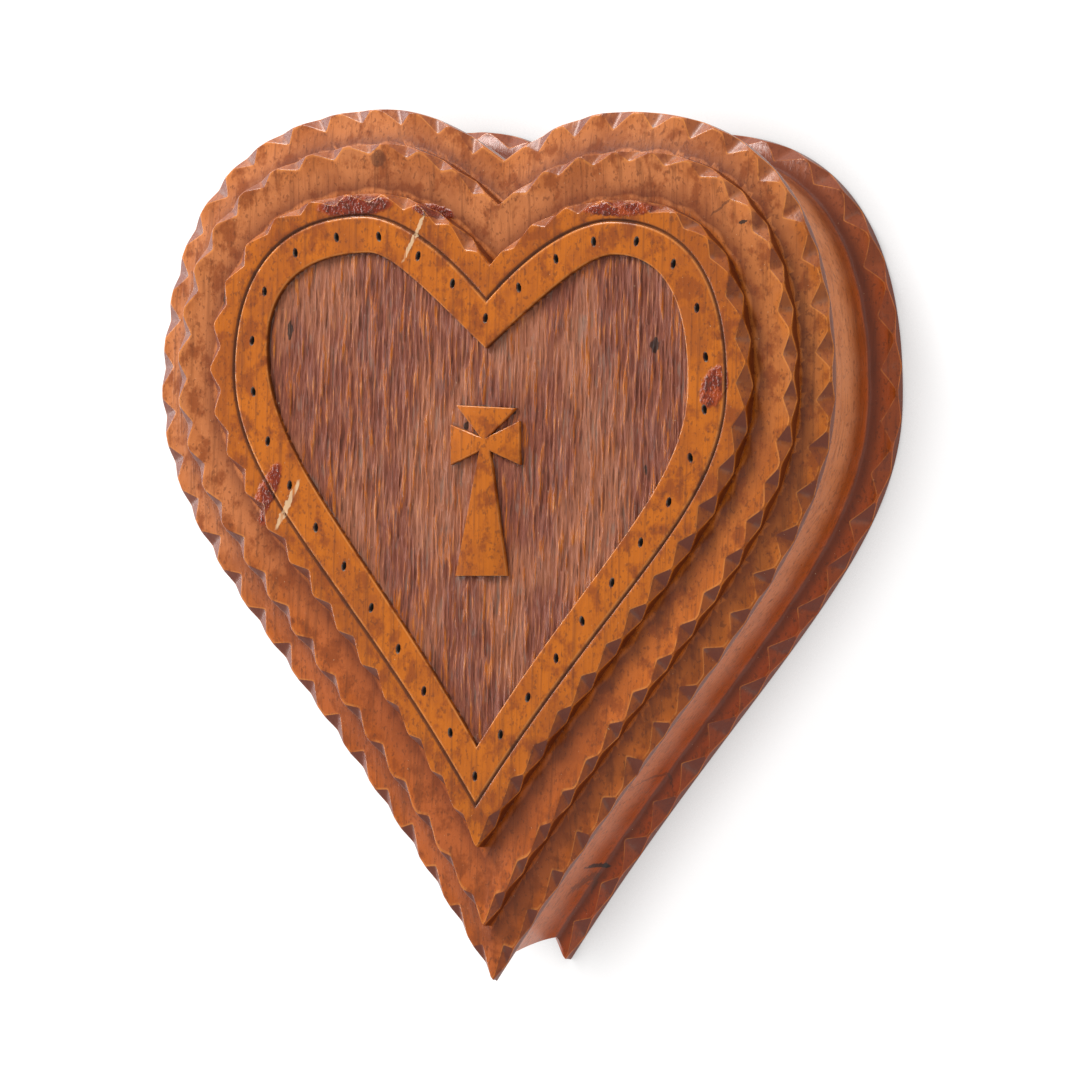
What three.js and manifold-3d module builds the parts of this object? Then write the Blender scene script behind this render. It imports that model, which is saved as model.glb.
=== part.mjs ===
// Chip carved heart box: a hollow wooden box with a heart-shaped plan and a lift-off lid.
// The lid is stepped in three tiers, each with a row of V chips along its arris. Its middle is
// a sunk field with a small relief cross, inside a flat band with a scratched line.
// The box wall leans out to the lid's lip and stands on a flange with a fourth row of chips.
// Millimetres, +Z up, +Y from the heart's tip to its lobes, underside on z = 0.

import * as THREE from 'three';
import { mergeVertices } from 'three/addons/utils/BufferGeometryUtils.js';
import Module from 'manifold-3d';

const wasm = await Module();
wasm.setup();

// Heights above the surface that the box stands on
const HEIGHT = 36;
const FLANGE_ARRIS = 2.4;
const WALL_FOOT = 4.8;
const RIM = 27.2;
const LID_GAP = 0.3;
const LID_UNDERSIDE = RIM + LID_GAP;
const LIP = 28.2;
const THIRD_ARRIS = 29.8;
const SECOND_FOOT = 31.3;
const SECOND_ARRIS = 33.8;
const FIRST_FOOT = 33;

// Inside of the box, and the plug under the lid that drops into it
const FLOOR = 5;
const RIM_INSET = 9;
const FLOOR_INSET = 12.5;
const PLUG_DEPTH = 3;
const PLUG_CLEARANCE = 0.5;

// Carving
const BLUNT = 0.25;
const CHIP_SHARE = 0.47;
const DEPTH_SWING = 0.1;
const FIELD_DEPTH = 1.1;
const SCRATCH_WIDTH = 1;
const SCRATCH_DEPTH = 0.6;

// Each heart is given by its cleft, its tip, and the tops and outermost points of its two lobes,
// left one first. The box was drawn by hand, so the lobes differ by a few millimetres.
// `open` is the angle in degrees between the edge and +Y where it leaves the cleft.
const hearts = {
  field: heart([3.8, 39.9], [3.7, -41.9], [[-26.7, 59.8], [35, 58.8]], [[-52.3, 40.6], [53.9, 31.8]], 52),
  scratch: heart([3.8, 49.7], [3.7, -53.8], [[-27.9, 67.5], [34.1, 65.7]], [[-60.7, 36.2], [63.1, 31.2]], 46),
  first: heart([4.5, 56.9], [4.2, -62.5], [[-27.2, 72.1], [35.5, 69.9]], [[-67.1, 36.2], [68.2, 31.9]], 43),
  second: heart([4.8, 69.3], [4.8, -78.6], [[-24.8, 82.5], [37.2, 79.8]], [[-77.4, 35.2], [77.8, 30.9]], 52),
  third: heart([3.1, 78.7], [4.6, -89.9], [[-27.5, 89.9], [32.6, 88.2]], [[-84.5, 32.4], [84.5, 30.7]], 57),
  flange: heart([3.2, 77], [3.6, -86.2], [[-27.4, 86.8], [33.9, 85.4]], [[-81.9, 31.7], [82.6, 29.7]], 52),
  wallFoot: heart([3.4, 71.7], [3.2, -81.5], [[-26.9, 82.7], [33.6, 81.3]], [[-77, 31.7], [77.6, 30.2]], 52),
};

// Curve handles, as shares of each stretch's length, width or height
const HANDLE = { cleft: 0.54, inner: 0.17, crown: 0.64, shoulder: 0.67, haunch: 0.23, tip: 0.53 };
const FLANK_ANGLE = THREE.MathUtils.degToRad(36);

// Rows of chips: how many on each side, how far the first and last stand from cleft and tip,
// how far each cuts into the top, and how far down the side
const chipRows = {
  first: { counts: [23, 22], cleftGap: 8.6, tipGap: 5.4, cut: 2.6, drop: 2.7 },
  second: { counts: [26, 26], cleftGap: 8.6, tipGap: 4.9, cut: 2.6, drop: 2.3 },
  third: { counts: [27, 26], cleftGap: 10, tipGap: 4.6, cut: 3.5, drop: 1.6 },
  flange: { counts: [24, 23], cleftGap: 9.5, tipGap: 6, cut: 3.3, drop: 2.2 },
};

// The cross's corners, in millimetres from its middle, from the top left one round to the left
const CROSS_CENTRE = [3.9, 20.7];
const crossOutline = [
  [-7.3, 7.5], [-1, 1], [-8.5, 3.5], [-8.3, -4.8], [-1.2, -1.9], [-6.5, -27.6],
  [6.5, -27.4], [1.5, -1.9], [9.1, -4.7], [8.8, 4.3], [1.1, 1.1], [7.8, 6.9],
];

function heart(cleft, tip, lobes, sides, open) {
  return { cleft, tip, lobes, sides, open: THREE.MathUtils.degToRad(open) };
}

// A smaller heart whose edge runs about `distance` inside the given one
function shrink(source, distance) {
  return {
    cleft: [source.cleft[0], source.cleft[1] - distance / Math.sin(source.open)],
    tip: [source.tip[0], source.tip[1] + distance / Math.sin(FLANK_ANGLE)],
    lobes: source.lobes.map(([x, y]) => [x, y - distance]),
    sides: source.sides.map(([x, y]) => [x - Math.sign(x) * distance, y]),
    open: source.open,
  };
}

// One side of a heart, from cleft to tip: side 0 is the left one, side 1 the right
function halfCurve(source, side) {
  const outward = side === 0 ? -1 : 1;
  const cleft = new THREE.Vector2(...source.cleft);
  const lobe = new THREE.Vector2(...source.lobes[side]);
  const widest = new THREE.Vector2(...source.sides[side]);
  const tip = new THREE.Vector2(...source.tip);
  const rise = cleft.distanceTo(lobe);
  const width = Math.abs(widest.x - lobe.x);
  const drop = lobe.y - widest.y;
  const flank = widest.distanceTo(tip);
  const step = (point, x, y) => new THREE.Vector2(point.x + x, point.y + y);
  const leaving = HANDLE.cleft * rise;
  const arriving = HANDLE.tip * flank;
  const path = new THREE.CurvePath();
  path.add(new THREE.CubicBezierCurve(
    cleft,
    step(cleft, outward * Math.sin(source.open) * leaving, Math.cos(source.open) * leaving),
    step(lobe, -outward * HANDLE.inner * rise, 0),
    lobe,
  ));
  path.add(new THREE.CubicBezierCurve(
    lobe,
    step(lobe, outward * HANDLE.crown * width, 0),
    step(widest, 0, HANDLE.shoulder * drop),
    widest,
  ));
  path.add(new THREE.CubicBezierCurve(
    widest,
    step(widest, 0, -HANDLE.haunch * flank),
    step(tip, outward * Math.sin(FLANK_ANGLE) * arriving, Math.cos(FLANK_ANGLE) * arriving),
    tip,
  ));
  return path;
}

// A station is a place round the edge: its side, its share of the way from cleft to tip, and
// how deep the chips are there, from 0 on the arris to about 1 at the bottom of a chip.
function loop(left, right) {
  const ends = { side: 0, cut: 0 };
  return [{ ...ends, share: 0 }, ...left, { ...ends, share: 1 }, ...right.reverse()];
}

function plainStations(perSide) {
  const along = (side) => Array.from({ length: perSide - 1 }, (_, index) => (
    { side, share: (index + 1) / perSide, cut: 0 }
  ));
  return loop(along(0), along(1));
}

function chipStations(source, row) {
  const along = (side) => {
    const length = halfCurve(source, side).getLength();
    const count = row.counts[side];
    const pitch = (length - row.cleftGap - row.tipGap) / (count - 1);
    const stations = [];
    for (let index = 0; index < count; index += 1) {
      const middle = row.cleftGap + index * pitch;
      const reach = Math.min(CHIP_SHARE * pitch, row.tipGap * 0.8);
      const depth = 1 - DEPTH_SWING * (1 + Math.sin(index * 2.4 + side));
      stations.push({ side, share: (middle - reach) / length, cut: 0 });
      stations.push({ side, share: middle / length, cut: depth });
      stations.push({ side, share: (middle + reach) / length, cut: 0 });
    }
    return stations;
  };
  return loop(along(0), along(1));
}

// A ring of points on a heart at one height
function ring(source, stations, height) {
  const curves = [halfCurve(source, 0), halfCurve(source, 1)];
  return stations.map(({ side, share }) => {
    const point = curves[side].getPointAt(share);
    return new THREE.Vector3(point.x, point.y, height);
  });
}

// Rings of one row of chips, upwards: the foot of its side, the lower ends of the chips, their
// upper ends on the ledge, the ledge's middle and the ledge's inner edge under the next tier.
// `ledge` gives the ledge's height from 0 at the arris to 1 at the inner edge.
function chippedRings(source, inner, row, arris, foot, ledge) {
  const stations = chipStations(source, row);
  const outside = ring(source, stations, arris);
  const inside = ring(inner, stations, arris);
  const across = (index, share) => {
    const point = outside[index].clone().lerp(inside[index], share);
    point.z = ledge(share);
    return point;
  };
  const lower = outside.map((point, index) => {
    const down = BLUNT + (row.drop - BLUNT) * stations[index].cut;
    return new THREE.Vector3(point.x, point.y, arris - down);
  });
  const upper = outside.map((point, index) => {
    const back = BLUNT + (row.cut - BLUNT) * stations[index].cut;
    return across(index, back / point.distanceTo(inside[index]));
  });
  const middle = outside.map((_, index) => across(index, 0.6));
  return {
    stations,
    foot: ring(source, stations, foot),
    lower,
    upper,
    middle,
    inner: outside.map((_, index) => across(index, 1)),
  };
}

function capTriangles(points, offset, flip) {
  const contour = points.map((point) => new THREE.Vector2(point.x, point.y));
  return THREE.ShapeUtils.triangulateShape(contour, []).map(([a, b, c]) => (
    flip ? [c + offset, b + offset, a + offset] : [a + offset, b + offset, c + offset]
  ));
}

// A closed skin over rings that all run counter-clockwise and have the same number of points
function skin(rings) {
  const count = rings[0].length;
  const faces = capTriangles(rings[0], 0, true);
  for (let level = 0; level + 1 < rings.length; level += 1) {
    for (let index = 0; index < count; index += 1) {
      const here = level * count + index;
      const next = level * count + ((index + 1) % count);
      faces.push([here, next, next + count], [here, next + count, here + count]);
    }
  }
  faces.push(...capTriangles(rings[rings.length - 1], (rings.length - 1) * count, false));
  const geometry = new THREE.BufferGeometry();
  const positions = rings.flat().flatMap((point) => [point.x, point.y, point.z]);
  geometry.setAttribute('position', new THREE.Float32BufferAttribute(positions, 3));
  geometry.setIndex(faces.flat());
  return geometry;
}

function toSolid(geometry) {
  const bare = geometry.clone();
  bare.deleteAttribute('normal');
  bare.deleteAttribute('uv');
  const merged = mergeVertices(bare, 1e-5);
  return new wasm.Manifold(new wasm.Mesh({
    numProp: 3,
    vertProperties: new Float32Array(merged.attributes.position.array),
    triVerts: new Uint32Array(merged.index.array),
  }));
}

function toGeometry(solid) {
  const mesh = solid.getMesh();
  const geometry = new THREE.BufferGeometry();
  geometry.setAttribute('position', new THREE.Float32BufferAttribute(mesh.vertProperties, 3));
  geometry.setIndex(Array.from(mesh.triVerts));
  geometry.computeVertexNormals();
  return geometry;
}

function heartPrism(source, perSide, low, high, lowSource = source) {
  const stations = plainStations(perSide);
  return toSolid(skin([ring(lowSource, stations, low), ring(source, stations, high)]));
}

// A dished ledge that runs from the arris at `outer` to the next tier's foot at `inner`
function dishedLedge(outer, inner, dish) {
  return (share) => THREE.MathUtils.lerp(outer, inner, share) - dish * Math.sin(Math.PI * share);
}

function thirdTier() {
  const under = shrink(hearts.second, 2);
  const ledge = dishedLedge(THIRD_ARRIS, SECOND_FOOT, 0.5);
  const rings = chippedRings(hearts.third, under, chipRows.third, THIRD_ARRIS, LIP, ledge);
  const underside = ring(shrink(hearts.third, 0.8), rings.stations, LID_UNDERSIDE);
  return toSolid(skin([underside, rings.foot, rings.lower, rings.upper, rings.middle, rings.inner]));
}

function secondTier() {
  const under = shrink(hearts.first, 2);
  const ledge = dishedLedge(SECOND_ARRIS, FIRST_FOOT, 0.5);
  const buried = SECOND_FOOT - 1;
  const rings = chippedRings(hearts.second, under, chipRows.second, SECOND_ARRIS, buried, ledge);
  return toSolid(skin([rings.foot, rings.lower, rings.upper, rings.middle, rings.inner]));
}

function firstTier() {
  const buried = FIRST_FOOT - 1;
  const rings = chippedRings(hearts.first, hearts.scratch, chipRows.first, HEIGHT, buried, () => HEIGHT);
  return toSolid(skin([rings.foot, rings.lower, rings.upper]));
}

// A V-shaped ring that is cut out of the top along the scratched line
function scratchCutter() {
  const stations = plainStations(45);
  const outer = ring(shrink(hearts.scratch, -SCRATCH_WIDTH / 2), stations, HEIGHT + 0.1);
  const inner = ring(shrink(hearts.scratch, SCRATCH_WIDTH / 2), stations, HEIGHT + 0.1);
  const bottom = ring(hearts.scratch, stations, HEIGHT - SCRATCH_DEPTH);
  const count = stations.length;
  const faces = [];
  const strips = [[0, 1], [1, 2], [2, 0]];
  for (const [from, to] of strips) {
    for (let index = 0; index < count; index += 1) {
      const next = (index + 1) % count;
      const [a, b] = [from * count + index, from * count + next];
      const [c, d] = [to * count + next, to * count + index];
      faces.push(a, b, c, a, c, d);
    }
  }
  const geometry = new THREE.BufferGeometry();
  const positions = [bottom, outer, inner].flat().flatMap((point) => [point.x, point.y, point.z]);
  geometry.setAttribute('position', new THREE.Float32BufferAttribute(positions, 3));
  geometry.setIndex(faces);
  return toSolid(geometry);
}

function reliefCross() {
  const shape = new THREE.Shape(crossOutline.map(([x, y]) => new THREE.Vector2(x, y)));
  const geometry = new THREE.ExtrudeGeometry(shape, { depth: FIELD_DEPTH + 0.1, bevelEnabled: false });
  geometry.translate(...CROSS_CENTRE, HEIGHT - FIELD_DEPTH - 0.2);
  return toSolid(geometry);
}

function lid() {
  const plugInset = RIM_INSET + PLUG_CLEARANCE;
  const plug = heartPrism(
    shrink(hearts.third, plugInset),
    40,
    LID_UNDERSIDE - PLUG_DEPTH,
    LID_UNDERSIDE + 1,
    shrink(hearts.third, plugInset + 0.3),
  );
  const sinking = heartPrism(hearts.field, 45, HEIGHT - FIELD_DEPTH, HEIGHT + 1);
  const stepped = thirdTier().add(secondTier()).add(firstTier()).add(plug);
  return toGeometry(stepped.subtract(sinking).add(reliefCross()).subtract(scratchCutter()));
}

function boxBody() {
  const flangeTop = (share) => FLANGE_ARRIS + (WALL_FOOT - FLANGE_ARRIS) * share ** 1.6;
  const rings = chippedRings(hearts.flange, hearts.wallFoot, chipRows.flange, FLANGE_ARRIS, 0, flangeTop);
  const wallTop = ring(shrink(hearts.third, 2.4), rings.stations, RIM);
  const wall = (height, lean) => rings.inner.map((point, index) => {
    const place = point.clone().lerp(wallTop[index], lean);
    place.z = height;
    return place;
  });
  const outside = toSolid(skin([
    rings.foot, rings.lower, rings.upper, rings.inner, wall(8, 0.05), wall(15, 0.3), wall(22, 0.7), wallTop,
  ]));
  const inside = heartPrism(
    shrink(hearts.third, RIM_INSET),
    45,
    FLOOR,
    RIM + 1,
    shrink(hearts.third, FLOOR_INSET),
  );
  return toGeometry(outside.subtract(inside));
}

const varnishedWood = (color) => new THREE.MeshStandardMaterial({ color, roughness: 0.42, metalness: 0 });

const box = new THREE.Group();

const bodyMesh = new THREE.Mesh(boxBody(), varnishedWood('#a8602f'));
bodyMesh.name = 'box_body';
box.add(bodyMesh);

const lidMesh = new THREE.Mesh(lid(), varnishedWood('#b8681f'));
lidMesh.name = 'lid';
box.add(lidMesh);

export default box;
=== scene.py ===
"""Chip carved heart box: its carved surfaces, old varnish and stage, built round the fixed frame."""

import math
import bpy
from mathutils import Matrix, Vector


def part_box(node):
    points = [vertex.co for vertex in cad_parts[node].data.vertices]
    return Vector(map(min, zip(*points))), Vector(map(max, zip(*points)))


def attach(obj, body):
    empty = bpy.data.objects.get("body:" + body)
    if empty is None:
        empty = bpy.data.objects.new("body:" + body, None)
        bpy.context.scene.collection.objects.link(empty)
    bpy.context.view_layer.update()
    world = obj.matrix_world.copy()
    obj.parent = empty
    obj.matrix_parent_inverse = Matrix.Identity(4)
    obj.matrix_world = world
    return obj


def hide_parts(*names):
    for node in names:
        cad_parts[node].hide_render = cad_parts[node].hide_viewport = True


bl_info = {
    "name": "Chip Carved Heart Box",
    "version": (1, 0, 0),
    "blender": (4, 5, 0),
    "location": "View3D > Sidebar > Heart Box",
    "description": "Builds a heart-shaped wooden box with a stepped, chip carved lid",
    "category": "Add Mesh",
}

import bmesh
import bpy
import numpy as np
from bpy.props import FloatProperty, FloatVectorProperty, IntProperty, PointerProperty
from mathutils import Matrix, Vector

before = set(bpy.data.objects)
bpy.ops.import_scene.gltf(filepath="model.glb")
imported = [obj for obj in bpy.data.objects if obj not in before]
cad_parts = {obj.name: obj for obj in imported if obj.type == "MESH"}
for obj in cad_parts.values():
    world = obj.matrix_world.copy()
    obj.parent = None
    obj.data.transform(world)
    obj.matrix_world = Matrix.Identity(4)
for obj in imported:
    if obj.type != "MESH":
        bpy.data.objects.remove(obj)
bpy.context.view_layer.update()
LID_LOW, LID_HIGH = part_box("lid")
_, BODY_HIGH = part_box("box_body")

MM = 0.001
TOP = LID_HIGH.z / MM
RIM = BODY_HIGH.z / MM
PLUG_BOTTOM = LID_LOW.z / MM

# Heights in millimetres, down from the lid's top or up from the box's underside
LID_UNDERSIDE = RIM + 0.3
LIP = TOP - 7.8
THIRD_ARRIS = TOP - 6.2
SECOND_FOOT = TOP - 4.7
SECOND_ARRIS = TOP - 2.2
FIRST_FOOT = TOP - 3
FIELD_FLOOR = TOP - 1.1
FLANGE_ARRIS = 2.4
WALL_FOOT = 4.8
BOX_FLOOR = 5

# How far in from the lid's edge the hollow stands at the rim and at its floor
RIM_INSET = 9
FLOOR_INSET = 12.5

# Each heart: cleft, tip, tops and outermost points of the left and right lobes, and the angle in
# degrees between its edge and +Y where it leaves the cleft. Millimetres, seen from above.
HEARTS = {
    "field": ((3.8, 39.9), (3.7, -41.9), ((-26.7, 59.8), (35, 58.8)), ((-52.3, 40.6), (53.9, 31.8)), 52),
    "scratch": ((3.8, 49.7), (3.7, -53.8), ((-27.9, 67.5), (34.1, 65.7)), ((-60.7, 36.2), (63.1, 31.2)), 46),
    "first": ((4.5, 56.9), (4.2, -62.5), ((-27.2, 72.1), (35.5, 69.9)), ((-67.1, 36.2), (68.2, 31.9)), 43),
    "second": ((4.8, 69.3), (4.8, -78.6), ((-24.8, 82.5), (37.2, 79.8)), ((-77.4, 35.2), (77.8, 30.9)), 52),
    "third": ((3.1, 78.7), (4.6, -89.9), ((-27.5, 89.9), (32.6, 88.2)), ((-84.5, 32.4), (84.5, 30.7)), 57),
    "flange": ((3.2, 77), (3.6, -86.2), ((-27.4, 86.8), (33.9, 85.4)), ((-81.9, 31.7), (82.6, 29.7)), 52),
    "wall_foot": ((3.4, 71.7), (3.2, -81.5), ((-26.9, 82.7), (33.6, 81.3)), ((-77, 31.7), (77.6, 30.2)), 52),
}
HANDLES = {"cleft": 0.54, "inner": 0.17, "crown": 0.64, "shoulder": 0.67, "haunch": 0.23, "tip": 0.53}
FLANK_ANGLE = math.radians(36)

# Rows of chips: how many on each side, how far the first and last stand from cleft and tip, how
# far each cuts into the ledge and how far down the side. `ledge` is the height of the ledge at
# its inner edge, its dish and the power that bends it.
CHIP_ROWS = {
    name: dict(zip(("counts", "gaps", "cut", "drop", "ledge"), numbers)) for name, numbers in (
        ("first", ((23, 22), (8.6, 5.4), 3.1, 2.8, (TOP, 0, 1))),
        ("second", ((26, 26), (8.6, 4.9), 3.1, 2.4, (FIRST_FOOT, 0.35, 1))),
        ("third", ((27, 26), (10, 4.6), 4.4, 1.6, (SECOND_FOOT, 0.35, 1))),
        ("flange", ((24, 23), (9.5, 6), 3.7, 2.3, (WALL_FOOT, 0, 1.6))),
    )
}

# How far a chip reaches to each side, as a share of its row's pitch, and at the tip of the gap there
CHIP_SHARE = 0.485
TIP_SHARE = 0.8
STATION_SPACING = 0.62

# How fast the chips' depth swings along a row, in radians a chip, and the knife's wobble a metre
SWING_PACE = 2.4
WOBBLE_PACE = 140

# Where the rings of a row lie: 0 to 1 down on the side, 1 to 2 on the chips, 2 to 3 on the ledge
ROW_ROLES = (0, 0.4, 0.75, 0.93, 1, 1.06, 1.2, 1.5, 1.8, 1.94, 2, 2.05, 2.12, 2.3, 2.5, 2.7, 2.85, 3)
PLAIN = -1

# What a plain ring tells its finish: how dark it is, as dirt in cut lines and painted shade at the foot of
# walls; whether it was never varnished; and how worn its edge is, shown partly as painted highlight
MARKS = ("dirt_and_shade", "bare", "edge")

# The relief cross's corners, in millimetres from its middle, from the top left one round
CROSS_CENTRE = (3.9, 20.7)
CROSS_OUTLINE = (
    (-7.3, 7.5), (-1, 1), (-8.5, 3.5), (-8.3, -4.8), (-1.2, -1.9), (-6.5, -27.6),
    (6.5, -27.4), (1.5, -1.9), (9.1, -4.7), (8.8, 4.3), (1.1, 1.1), (7.8, 6.9),
)

# Marks of age: middle and size in millimetres, turn in degrees
LID_MARKS = {
    "blisters": (
        ((-30, 69.5), (20, 4.4), 2), ((-11, 68.2), (9, 2.6), -12), ((36.5, 68), (18, 3), 0),
        ((60.5, 32), (9.5, 6), 60), ((-51.5, 9.5), (15, 4.5), 62),
    ),
    "scars": (((-14.8, 62.6), (11.8, 1.1), 61.5), ((-45.8, 7.4), (12.5, 1.6), 60.4)),
    "stains": (((-26.2, 79.5), (4, 4), 0), ((59.3, 68.2), (6.8, 0.6), 33)),
    "soot": (((-64.9, 50.8), (4.5, 2.2), 70), ((64.9, 65.2), (2.4, 0.8), 20)),
    "spots": (
        ((-46.9, 43.8), (4.2, 1.5), 88), ((45.2, 40.4), (3.4, 2.4), 80), ((-1.2, 23.9), (1.6, 1.2), 90),
        ((10.7, 27), (1.6, 1.2), 90), ((43.4, 15.2), (2, 0.8), 90),
    ),
}
BODY_MARKS = {
    "blisters": (((68.5, -10.3), (6, 2), 60),),
    "scars": (),
    "stains": (((-1.3, -66.5), (10, 0.4), 89), ((30.4, -47), (6, 0.4), 88), ((12.4, -69.7), (6, 0.5), 60)),
    "soot": (((14.9, -66.1), (1.8, 1.2), 0),),
}

# How far, in millimetres, a mark's edge strays from its oval
RAGGED = 1.2

# Arrises with a sharper turn than this stay crisp
SHARP = math.radians(38)

# The camera: what it looks at and from how far, in millimetres; its tilt from straight above, its
# turn and its roll in degrees; and how many pixels of the picture one millimetre of the lid takes
CAMERA_TARGET = (14.4, 0.8, 30)
CAMERA_DISTANCE = 1600
CAMERA_ANGLES = (35, -1, 1.2)
SENSOR = 36
PIXELS_PER_MM = 4.886
PICTURE_WIDTH = 1080

# Softboxes: name, place and size in metres, watts
WORLD_STRENGTH = 0.64
SOFTBOXES = (
    ("key", (-0.66, 0.9, 0.62), (0.45, 0.45), 16),
    ("rim", (-1.4, 0.2, 0.3), (1.2, 0.3), 9),
)


def linear(colour):
    """An sRGB hex colour as linear red, green, blue and alpha."""
    parts = [int(colour[at:at + 2], 16) / 255 for at in (1, 3, 5)]
    return (*[part / 12.92 if part <= 0.04045 else ((part + 0.055) / 1.055) ** 2.4 for part in parts], 1)


def shade(name, description, colour):
    """A colour property with an sRGB hex default."""
    default = linear(colour)
    return FloatVectorProperty(name=name, description=description, default=default, size=4, subtype="COLOR")


class HeartBoxShades(bpy.types.PropertyGroup):
    """Colours of the wood, its old varnish and what has settled on it"""

    amber: shade("Amber", "Varnish at its usual thickness", "#b65e02")
    glow: shade("Glow", "Thin varnish near an arris", "#c86a00")
    ochre: shade("Ochre", "Worn wood on the ledges", "#b8692f")
    # The wall's own tone, and also laid on the lid as a painted light towards the upper-left lobes
    rose: shade("Rose", "Wood of the body's wall", "#ca7c4c")
    umber: shade("Umber", "Stained wood of the flange", "#b4521b")
    dull: shade("Dull", "Clouds of duller varnish", "#863c0e")
    grain: shade("Grain", "Dark streaks and pores of the grain", "#6a3413")
    # Old dirt, and also laid as a painted shade in the hollows of the gouged field
    grime_and_shade: shade("Grime", "Old dirt in corners and lines", "#482414")
    # Painted shade: laid at the foot of each step, in crevices and at the back of the flange
    shadow: shade("Shadow", "Thick varnish at the foot of a step", "#62260c")
    blister: shade("Blister", "Thick crusted varnish", "#6c1c0a")
    flush: shade("Flush", "Reddened varnish round the crusts", "#a63a08")
    # Also laid as a painted shade over the facets that face the tip and the left-hand side
    facet: shade("Facet", "Knife facets of the chips", "#733828")
    dust: shade("Dust", "Grey dust in cuts and corners", "#8a7a6e")
    # Rubbed arrises, and also a painted highlight on arrises and on the field's ridge tops
    edge: shade("Edge", "Rubbed arrises", "#dc8a44")
    scar: shade("Scar", "Fresh wood in scratches", "#dcba90")
    # Real black spots, and also a painted shade in the depths of the pricks
    soot: shade("Soot", "Black spots and the depths of pricks", "#1f1815")
    bare: shade("Bare", "Unvarnished wood inside and underneath", "#a67c50")
    ground: shade("Ground", "Gouged ground of the field", "#8a4b38")
    ground_pale: shade("Pale ground", "Torn fibres of the field", "#b97452")
    ridge: shade("Ridge", "Varnish kept on the field's ridges", "#b45c0e")


def length(name, description, millimetres):
    """A length property with its default in millimetres."""
    return FloatProperty(name=name, description=description, default=millimetres * MM, unit="LENGTH")


class HeartBoxCarving(bpy.types.PropertyGroup):
    """Sizes of the knife work that a carver would change"""

    blunt: length("Blunt arris", "How much of the arris is worn away between two chips", 0.25)
    swing: FloatProperty(
        name="Chip swing",
        description="How much the depth of the chips varies along a row",
        default=0.1,
        subtype="FACTOR",
    )
    wobble: length("Hand wobble", "How far the knife strays from the drawn line", 0.14)
    scratch_width: length("Scratched line width", "Width of the V line round the band", 0.95)
    scratch_depth: length("Scratched line depth", "Depth of the V line round the band", 0.42)
    stroke_width: length("Gouge stroke width", "Distance between the gouge strokes in the sunk field", 0.85)
    stroke_length: length("Gouge stroke length", "Typical length of a gouge stroke in the sunk field", 10)
    stroke_depth: length("Gouge stroke depth", "Height of the ridges between the gouge strokes", 0.5)
    pricks: IntProperty(
        name="Pricks on each side",
        description="Spaces between the awl pricks from the cleft to the tip",
        default=17,
    )
    prick_width: length("Prick width", "Width of one awl prick across the grain", 1.6)
    prick_length: length("Prick length", "Length of one awl prick along the grain", 2.7)
    prick_depth: length("Prick depth", "Depth of one awl prick", 1.5)
    seed: IntProperty(name="Seed", description="Seed of the carving's irregularities", default=7)


# The kinds of node that are used most
MATH = "ShaderNodeMath"
VECTOR = "ShaderNodeVectorMath"
RANGE = "ShaderNodeMapRange"
NOISE = "ShaderNodeTexNoise"
PLACE = "GeometryNodeSetPosition"
STORE = "GeometryNodeStoreNamedAttribute"
SWITCH = "GeometryNodeSwitch"


def add(tree, kind, inputs=None, **settings):
    """Adds a node. An input, by name or number, takes a value, a socket or a node's first output."""
    made = tree.nodes.new(kind)
    for name, value in settings.items():
        setattr(made, name, value)
    for name, value in (inputs or {}).items():
        if isinstance(value, bpy.types.Node):
            value = value.outputs[0]
        if isinstance(value, bpy.types.NodeSocket):
            tree.links.new(value, made.inputs[name])
        else:
            made.inputs[name].default_value = value
    return made


# Hearts


def shrink(heart, distance):
    """A smaller heart whose edge runs about `distance` inside the given one."""
    cleft, tip, lobes, sides, angle = heart
    return (
        (cleft[0], cleft[1] - distance / math.sin(math.radians(angle))),
        (tip[0], tip[1] + distance / math.sin(FLANK_ANGLE)),
        tuple((x, y - distance) for x, y in lobes),
        tuple((x - distance * math.copysign(1, x), y) for x, y in sides),
        angle,
    )


def bezier(points, steps=160):
    """Points on a cubic curve through the first and last of four points."""
    share = np.linspace(0, 1, steps)[:, None]
    rest = 1 - share
    a, b, c, d = (np.array(point, float) for point in points)
    return a * rest**3 + 3 * b * rest**2 * share + 3 * c * rest * share**2 + d * share**3


def half_line(heart, side):
    """One side of a heart from cleft to tip as a fine line, with the distance run at each point."""
    cleft, tip, lobes, sides, angle = heart
    outward = -1 if side == 0 else 1
    lobe, widest = lobes[side], sides[side]
    rise = math.dist(cleft, lobe)
    width = abs(widest[0] - lobe[0])
    drop = lobe[1] - widest[1]
    flank = math.dist(widest, tip)
    opening = math.radians(angle)
    leaving = HANDLES["cleft"] * rise
    arriving = HANDLES["tip"] * flank
    line = np.vstack((
        bezier((
            cleft,
            (cleft[0] + outward * math.sin(opening) * leaving, cleft[1] + math.cos(opening) * leaving),
            (lobe[0] - outward * HANDLES["inner"] * rise, lobe[1]),
            lobe,
        )),
        bezier((
            lobe,
            (lobe[0] + outward * HANDLES["crown"] * width, lobe[1]),
            (widest[0], widest[1] + HANDLES["shoulder"] * drop),
            widest,
        ))[1:],
        bezier((
            widest,
            (widest[0], widest[1] - HANDLES["haunch"] * flank),
            (
                tip[0] + outward * math.sin(FLANK_ANGLE) * arriving,
                tip[1] + math.cos(FLANK_ANGLE) * arriving,
            ),
            tip,
        ))[1:],
    ))
    run = np.concatenate(([0], np.cumsum(np.linalg.norm(np.diff(line, axis=0), axis=1))))
    return line, run


def half_length(heart, side):
    return half_line(heart, side)[1][-1]


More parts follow.
